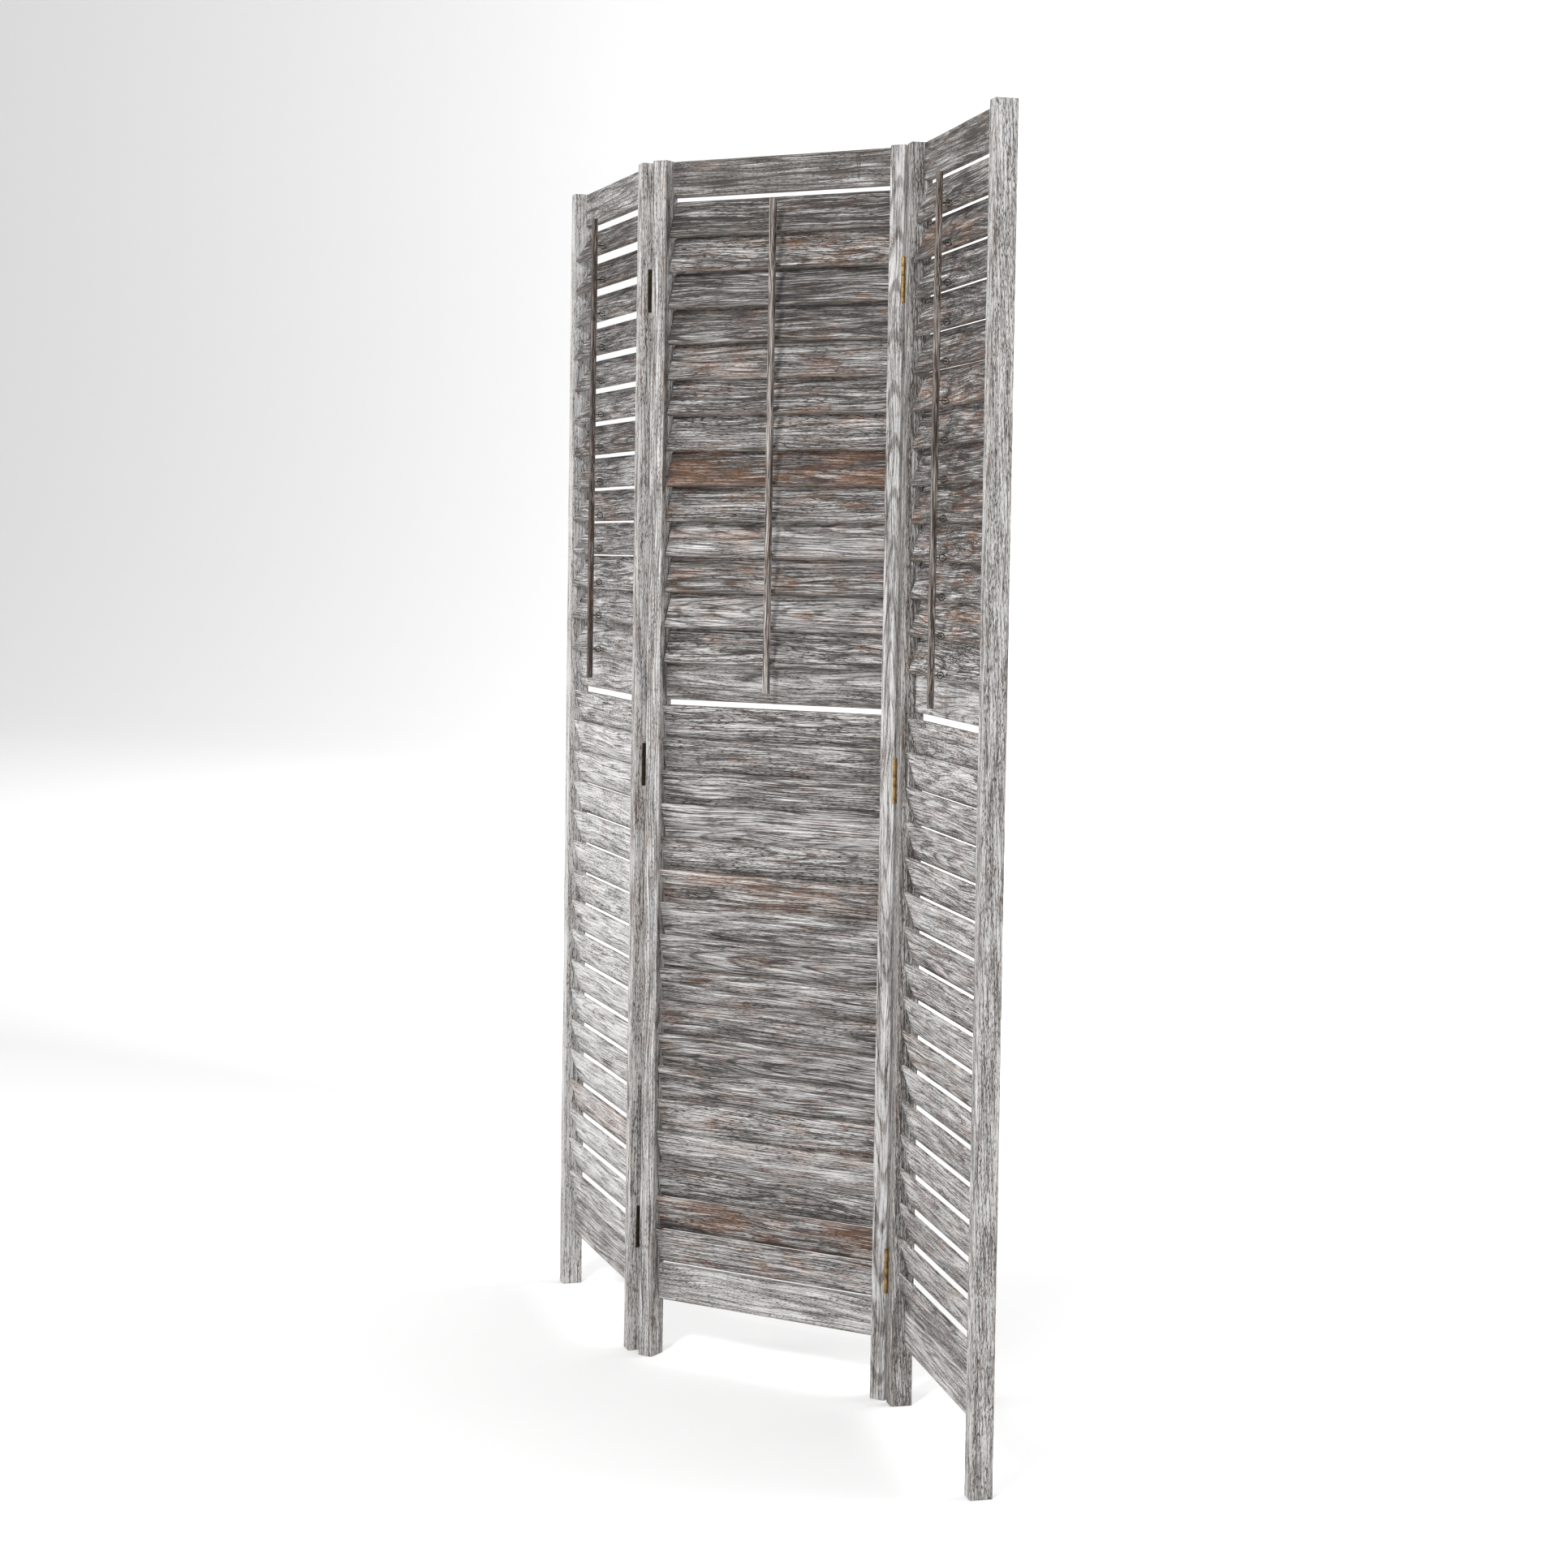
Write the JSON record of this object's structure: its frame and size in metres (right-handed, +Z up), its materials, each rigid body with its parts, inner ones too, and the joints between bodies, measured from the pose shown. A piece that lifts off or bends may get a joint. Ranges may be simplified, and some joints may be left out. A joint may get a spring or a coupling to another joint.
{
  "type": "folding room divider screen",
  "caption": "Folding room divider screen of louvred wooden panels with tilting upper louvers, tilt rods and fixed lower louvers.",
  "frame": {"origin": "on the floor, under the middle of the box around the whole screen as it stands at rest", "axes": "+Z up; +X along the centre panel towards its right-hand end; -Y out of the centre panel's front, the side with the tilt rod"},
  "size_m": [1.0356, 0.5884, 1.7],
  "materials": {
    "frame_wood": "whitewashed, weathered grey grain, matt",
    "louver_wood": "whitewashed, weathered grey grain with brown patches, matt",
    "tilt_rod_wood": "weathered brown-grey, matt",
    "hinge_brass": "plain satin brass"
  },
  "bodies": {
    "centre_panel": {"centre_frame": "frame_wood", "centre_fixed_louvers": "louver_wood", "left_hinge_bottom_plain_leaf": "hinge_brass", "left_hinge_middle_plain_leaf": "hinge_brass", "left_hinge_top_plain_leaf": "hinge_brass", "right_hinge_bottom_plain_leaf": "hinge_brass", "right_hinge_middle_plain_leaf": "hinge_brass", "right_hinge_top_plain_leaf": "hinge_brass"},
    "left_panel": {"left_frame": "frame_wood", "left_fixed_louvers": "louver_wood", "left_hinge_bottom_pin_leaf": "hinge_brass", "left_hinge_middle_pin_leaf": "hinge_brass", "left_hinge_top_pin_leaf": "hinge_brass"},
    "right_panel": {"right_frame": "frame_wood", "right_fixed_louvers": "louver_wood", "right_hinge_bottom_pin_leaf": "hinge_brass", "right_hinge_middle_pin_leaf": "hinge_brass", "right_hinge_top_pin_leaf": "hinge_brass"},
    "left_louver_01": {"left_louver_01": "louver_wood"},
    "left_louver_02": {"left_louver_02": "louver_wood"},
    "left_louver_03": {"left_louver_03": "louver_wood"},
    "left_louver_04": {"left_louver_04": "louver_wood"},
    "left_louver_05": {"left_louver_05": "louver_wood"},
    "left_louver_06": {"left_louver_06": "louver_wood"},
    "left_louver_07": {"left_louver_07": "louver_wood"},
    "left_louver_08": {"left_louver_08": "louver_wood"},
    "left_louver_09": {"left_louver_09": "louver_wood"},
    "left_louver_10": {"left_louver_10": "louver_wood"},
    "left_louver_11": {"left_louver_11": "louver_wood"},
    "left_louver_12": {"left_louver_12": "louver_wood"},
    "left_louver_13": {"left_louver_13": "louver_wood"},
    "left_tilt_rod": {"left_tilt_rod": "tilt_rod_wood"},
    "centre_louver_01": {"centre_louver_01": "louver_wood"},
    "centre_louver_02": {"centre_louver_02": "louver_wood"},
    "centre_louver_03": {"centre_louver_03": "louver_wood"},
    "centre_louver_04": {"centre_louver_04": "louver_wood"},
    "centre_louver_05": {"centre_louver_05": "louver_wood"},
    "centre_louver_06": {"centre_louver_06": "louver_wood"},
    "centre_louver_07": {"centre_louver_07": "louver_wood"},
    "centre_louver_08": {"centre_louver_08": "louver_wood"},
    "centre_louver_09": {"centre_louver_09": "louver_wood"},
    "centre_louver_10": {"centre_louver_10": "louver_wood"},
    "centre_louver_11": {"centre_louver_11": "louver_wood"},
    "centre_louver_12": {"centre_louver_12": "louver_wood"},
    "centre_louver_13": {"centre_louver_13": "louver_wood"},
    "centre_tilt_rod": {"centre_tilt_rod": "tilt_rod_wood"},
    "right_louver_01": {"right_louver_01": "louver_wood"},
    "right_louver_02": {"right_louver_02": "louver_wood"},
    "right_louver_03": {"right_louver_03": "louver_wood"},
    "right_louver_04": {"right_louver_04": "louver_wood"},
    "right_louver_05": {"right_louver_05": "louver_wood"},
    "right_louver_06": {"right_louver_06": "louver_wood"},
    "right_louver_07": {"right_louver_07": "louver_wood"},
    "right_louver_08": {"right_louver_08": "louver_wood"},
    "right_louver_09": {"right_louver_09": "louver_wood"},
    "right_louver_10": {"right_louver_10": "louver_wood"},
    "right_louver_11": {"right_louver_11": "louver_wood"},
    "right_louver_12": {"right_louver_12": "louver_wood"},
    "right_louver_13": {"right_louver_13": "louver_wood"},
    "right_tilt_rod": {"right_tilt_rod": "tilt_rod_wood"}
  },
  "joints": [
    {"name": "left_fold", "type": "hinge", "parent": "centre_panel", "child": "left_panel", "pos_m": [-0.18918, 0.03333, 0.85], "axis": [0, 0, 1], "range_deg": [-124.5, 40.5]},
    {"name": "right_fold", "type": "hinge", "parent": "centre_panel", "child": "right_panel", "pos_m": [0.21682, -0.00147, 0.85], "axis": [0, 0, 1], "range_deg": [-118.3, 46.7]},
    {"name": "left_tilt", "type": "hinge", "parent": "left_panel", "child": "left_louver_01", "pos_m": [-0.35244, 0.15475, 1.6176], "axis": [-0.7604, 0.6494, 0], "range_deg": [-24.5, 76]},
    {"name": "left_tilt_02", "type": "hinge", "parent": "left_panel", "child": "left_louver_02", "pos_m": [-0.35244, 0.15475, 1.5678], "axis": [-0.7604, 0.6494, 0], "range_deg": [-24.5, 76]},
    {"name": "left_tilt_03", "type": "hinge", "parent": "left_panel", "child": "left_louver_03", "pos_m": [-0.35244, 0.15475, 1.518], "axis": [-0.7604, 0.6494, 0], "range_deg": [-24.5, 76]},
    {"name": "left_tilt_04", "type": "hinge", "parent": "left_panel", "child": "left_louver_04", "pos_m": [-0.35244, 0.15475, 1.4682], "axis": [-0.7604, 0.6494, 0], "range_deg": [-24.5, 76]},
    {"name": "left_tilt_05", "type": "hinge", "parent": "left_panel", "child": "left_louver_05", "pos_m": [-0.35244, 0.15475, 1.4184], "axis": [-0.7604, 0.6494, 0], "range_deg": [-24.5, 76]},
    {"name": "left_tilt_06", "type": "hinge", "parent": "left_panel", "child": "left_louver_06", "pos_m": [-0.35244, 0.15475, 1.3686], "axis": [-0.7604, 0.6494, 0], "range_deg": [-24.5, 76]},
    {"name": "left_tilt_07", "type": "hinge", "parent": "left_panel", "child": "left_louver_07", "pos_m": [-0.35244, 0.15475, 1.3188], "axis": [-0.7604, 0.6494, 0], "range_deg": [-24.5, 76]},
    {"name": "left_tilt_08", "type": "hinge", "parent": "left_panel", "child": "left_louver_08", "pos_m": [-0.35244, 0.15475, 1.269], "axis": [-0.7604, 0.6494, 0], "range_deg": [-24.5, 76]},
    {"name": "left_tilt_09", "type": "hinge", "parent": "left_panel", "child": "left_louver_09", "pos_m": [-0.35244, 0.15475, 1.2192], "axis": [-0.7604, 0.6494, 0], "range_deg": [-24.5, 76]},
    {"name": "left_tilt_10", "type": "hinge", "parent": "left_panel", "child": "left_louver_10", "pos_m": [-0.35244, 0.15475, 1.1694], "axis": [-0.7604, 0.6494, 0], "range_deg": [-24.5, 76]},
    {"name": "left_tilt_11", "type": "hinge", "parent": "left_panel", "child": "left_louver_11", "pos_m": [-0.35244, 0.15475, 1.1196], "axis": [-0.7604, 0.6494, 0], "range_deg": [-24.5, 76]},
    {"name": "left_tilt_12", "type": "hinge", "parent": "left_panel", "child": "left_louver_12", "pos_m": [-0.35244, 0.15475, 1.0698], "axis": [-0.7604, 0.6494, 0], "range_deg": [-24.5, 76]},
    {"name": "left_tilt_13", "type": "hinge", "parent": "left_panel", "child": "left_louver_13", "pos_m": [-0.35244, 0.15475, 1.02], "axis": [-0.7604, 0.6494, 0], "range_deg": [-24.5, 76]},
    {"name": "left_rod_swing", "type": "hinge", "parent": "left_louver_01", "child": "left_tilt_rod", "pos_m": [-0.36676, 0.13875, 1.60241], "axis": [-0.7604, 0.6494, 0], "range_deg": [-76, 24.5]},
    {"name": "centre_tilt", "type": "hinge", "parent": "centre_panel", "child": "centre_louver_01", "pos_m": [0.01382, 0.01963, 1.6176], "axis": [-1, 0, 0], "range_deg": [-12.5, 88]},
    {"name": "centre_tilt_02", "type": "hinge", "parent": "centre_panel", "child": "centre_louver_02", "pos_m": [0.01382, 0.01963, 1.5678], "axis": [-1, 0, 0], "range_deg": [-12.5, 88]},
    {"name": "centre_tilt_03", "type": "hinge", "parent": "centre_panel", "child": "centre_louver_03", "pos_m": [0.01382, 0.01963, 1.518], "axis": [-1, 0, 0], "range_deg": [-12.5, 88]},
    {"name": "centre_tilt_04", "type": "hinge", "parent": "centre_panel", "child": "centre_louver_04", "pos_m": [0.01382, 0.01963, 1.4682], "axis": [-1, 0, 0], "range_deg": [-12.5, 88]},
    {"name": "centre_tilt_05", "type": "hinge", "parent": "centre_panel", "child": "centre_louver_05", "pos_m": [0.01382, 0.01963, 1.4184], "axis": [-1, 0, 0], "range_deg": [-12.5, 88]},
    {"name": "centre_tilt_06", "type": "hinge", "parent": "centre_panel", "child": "centre_louver_06", "pos_m": [0.01382, 0.01963, 1.3686], "axis": [-1, 0, 0], "range_deg": [-12.5, 88]},
    {"name": "centre_tilt_07", "type": "hinge", "parent": "centre_panel", "child": "centre_louver_07", "pos_m": [0.01382, 0.01963, 1.3188], "axis": [-1, 0, 0], "range_deg": [-12.5, 88]},
    {"name": "centre_tilt_08", "type": "hinge", "parent": "centre_panel", "child": "centre_louver_08", "pos_m": [0.01382, 0.01963, 1.269], "axis": [-1, 0, 0], "range_deg": [-12.5, 88]},
    {"name": "centre_tilt_09", "type": "hinge", "parent": "centre_panel", "child": "centre_louver_09", "pos_m": [0.01382, 0.01963, 1.2192], "axis": [-1, 0, 0], "range_deg": [-12.5, 88]},
    {"name": "centre_tilt_10", "type": "hinge", "parent": "centre_panel", "child": "centre_louver_10", "pos_m": [0.01382, 0.01963, 1.1694], "axis": [-1, 0, 0], "range_deg": [-12.5, 88]},
    {"name": "centre_tilt_11", "type": "hinge", "parent": "centre_panel", "child": "centre_louver_11", "pos_m": [0.01382, 0.01963, 1.1196], "axis": [-1, 0, 0], "range_deg": [-12.5, 88]},
    {"name": "centre_tilt_12", "type": "hinge", "parent": "centre_panel", "child": "centre_louver_12", "pos_m": [0.01382, 0.01963, 1.0698], "axis": [-1, 0, 0], "range_deg": [-12.5, 88]},
    {"name": "centre_tilt_13", "type": "hinge", "parent": "centre_panel", "child": "centre_louver_13", "pos_m": [0.01382, 0.01963, 1.02], "axis": [-1, 0, 0], "range_deg": [-12.5, 88]},
    {"name": "centre_rod_swing", "type": "hinge", "parent": "centre_louver_01", "child": "centre_tilt_rod", "pos_m": [0.01332, 0.00179, 1.59828], "axis": [-1, 0, 0], "range_deg": [-88, 12.5]},
    {"name": "right_tilt", "type": "hinge", "parent": "right_panel", "child": "right_louver_01", "pos_m": [0.37139, -0.13474, 1.6176], "axis": [-0.6858, 0.7278, 0], "range_deg": [-10.5, 90]},
    {"name": "right_tilt_02", "type": "hinge", "parent": "right_panel", "child": "right_louver_02", "pos_m": [0.37139, -0.13474, 1.5678], "axis": [-0.6858, 0.7278, 0], "range_deg": [-10.5, 90]},
    {"name": "right_tilt_03", "type": "hinge", "parent": "right_panel", "child": "right_louver_03", "pos_m": [0.37139, -0.13474, 1.518], "axis": [-0.6858, 0.7278, 0], "range_deg": [-10.5, 90]},
    {"name": "right_tilt_04", "type": "hinge", "parent": "right_panel", "child": "right_louver_04", "pos_m": [0.37139, -0.13474, 1.4682], "axis": [-0.6858, 0.7278, 0], "range_deg": [-10.5, 90]},
    {"name": "right_tilt_05", "type": "hinge", "parent": "right_panel", "child": "right_louver_05", "pos_m": [0.37139, -0.13474, 1.4184], "axis": [-0.6858, 0.7278, 0], "range_deg": [-10.5, 90]},
    {"name": "right_tilt_06", "type": "hinge", "parent": "right_panel", "child": "right_louver_06", "pos_m": [0.37139, -0.13474, 1.3686], "axis": [-0.6858, 0.7278, 0], "range_deg": [-10.5, 90]},
    {"name": "right_tilt_07", "type": "hinge", "parent": "right_panel", "child": "right_louver_07", "pos_m": [0.37139, -0.13474, 1.3188], "axis": [-0.6858, 0.7278, 0], "range_deg": [-10.5, 90]},
    {"name": "right_tilt_08", "type": "hinge", "parent": "right_panel", "child": "right_louver_08", "pos_m": [0.37139, -0.13474, 1.269], "axis": [-0.6858, 0.7278, 0], "range_deg": [-10.5, 90]},
    {"name": "right_tilt_09", "type": "hinge", "parent": "right_panel", "child": "right_louver_09", "pos_m": [0.37139, -0.13474, 1.2192], "axis": [-0.6858, 0.7278, 0], "range_deg": [-10.5, 90]},
    {"name": "right_tilt_10", "type": "hinge", "parent": "right_panel", "child": "right_louver_10", "pos_m": [0.37139, -0.13474, 1.1694], "axis": [-0.6858, 0.7278, 0], "range_deg": [-10.5, 90]},
    {"name": "right_tilt_11", "type": "hinge", "parent": "right_panel", "child": "right_louver_11", "pos_m": [0.37139, -0.13474, 1.1196], "axis": [-0.6858, 0.7278, 0], "range_deg": [-10.5, 90]},
    {"name": "right_tilt_12", "type": "hinge", "parent": "right_panel", "child": "right_louver_12", "pos_m": [0.37139, -0.13474, 1.0698], "axis": [-0.6858, 0.7278, 0], "range_deg": [-10.5, 90]},
    {"name": "right_tilt_13", "type": "hinge", "parent": "right_panel", "child": "right_louver_13", "pos_m": [0.37139, -0.13474, 1.02], "axis": [-0.6858, 0.7278, 0], "range_deg": [-10.5, 90]},
    {"name": "right_rod_swing", "type": "hinge", "parent": "right_louver_01", "child": "right_tilt_rod", "pos_m": [0.35857, -0.14614, 1.59766], "axis": [-0.6858, 0.7278, 0], "range_deg": [-90, 10.5]}
  ],
  "couplings": [
    {"joint": "left_tilt_02", "follows": "left_tilt", "ratio": 1},
    {"joint": "left_tilt_03", "follows": "left_tilt", "ratio": 1},
    {"joint": "left_tilt_04", "follows": "left_tilt", "ratio": 1},
    {"joint": "left_tilt_05", "follows": "left_tilt", "ratio": 1},
    {"joint": "left_tilt_06", "follows": "left_tilt", "ratio": 1},
    {"joint": "left_tilt_07", "follows": "left_tilt", "ratio": 1},
    {"joint": "left_tilt_08", "follows": "left_tilt", "ratio": 1},
    {"joint": "left_tilt_09", "follows": "left_tilt", "ratio": 1},
    {"joint": "left_tilt_10", "follows": "left_tilt", "ratio": 1},
    {"joint": "left_tilt_11", "follows": "left_tilt", "ratio": 1},
    {"joint": "left_tilt_12", "follows": "left_tilt", "ratio": 1},
    {"joint": "left_tilt_13", "follows": "left_tilt", "ratio": 1},
    {"joint": "left_rod_swing", "follows": "left_tilt", "ratio": -1},
    {"joint": "centre_tilt_02", "follows": "centre_tilt", "ratio": 1},
    {"joint": "centre_tilt_03", "follows": "centre_tilt", "ratio": 1},
    {"joint": "centre_tilt_04", "follows": "centre_tilt", "ratio": 1},
    {"joint": "centre_tilt_05", "follows": "centre_tilt", "ratio": 1},
    {"joint": "centre_tilt_06", "follows": "centre_tilt", "ratio": 1},
    {"joint": "centre_tilt_07", "follows": "centre_tilt", "ratio": 1},
    {"joint": "centre_tilt_08", "follows": "centre_tilt", "ratio": 1},
    {"joint": "centre_tilt_09", "follows": "centre_tilt", "ratio": 1},
    {"joint": "centre_tilt_10", "follows": "centre_tilt", "ratio": 1},
    {"joint": "centre_tilt_11", "follows": "centre_tilt", "ratio": 1},
    {"joint": "centre_tilt_12", "follows": "centre_tilt", "ratio": 1},
    {"joint": "centre_tilt_13", "follows": "centre_tilt", "ratio": 1},
    {"joint": "centre_rod_swing", "follows": "centre_tilt", "ratio": -1},
    {"joint": "right_tilt_02", "follows": "right_tilt", "ratio": 1},
    {"joint": "right_tilt_03", "follows": "right_tilt", "ratio": 1},
    {"joint": "right_tilt_04", "follows": "right_tilt", "ratio": 1},
    {"joint": "right_tilt_05", "follows": "right_tilt", "ratio": 1},
    {"joint": "right_tilt_06", "follows": "right_tilt", "ratio": 1},
    {"joint": "right_tilt_07", "follows": "right_tilt", "ratio": 1},
    {"joint": "right_tilt_08", "follows": "right_tilt", "ratio": 1},
    {"joint": "right_tilt_09", "follows": "right_tilt", "ratio": 1},
    {"joint": "right_tilt_10", "follows": "right_tilt", "ratio": 1},
    {"joint": "right_tilt_11", "follows": "right_tilt", "ratio": 1},
    {"joint": "right_tilt_12", "follows": "right_tilt", "ratio": 1},
    {"joint": "right_tilt_13", "follows": "right_tilt", "ratio": 1},
    {"joint": "right_rod_swing", "follows": "right_tilt", "ratio": -1}
  ]
}
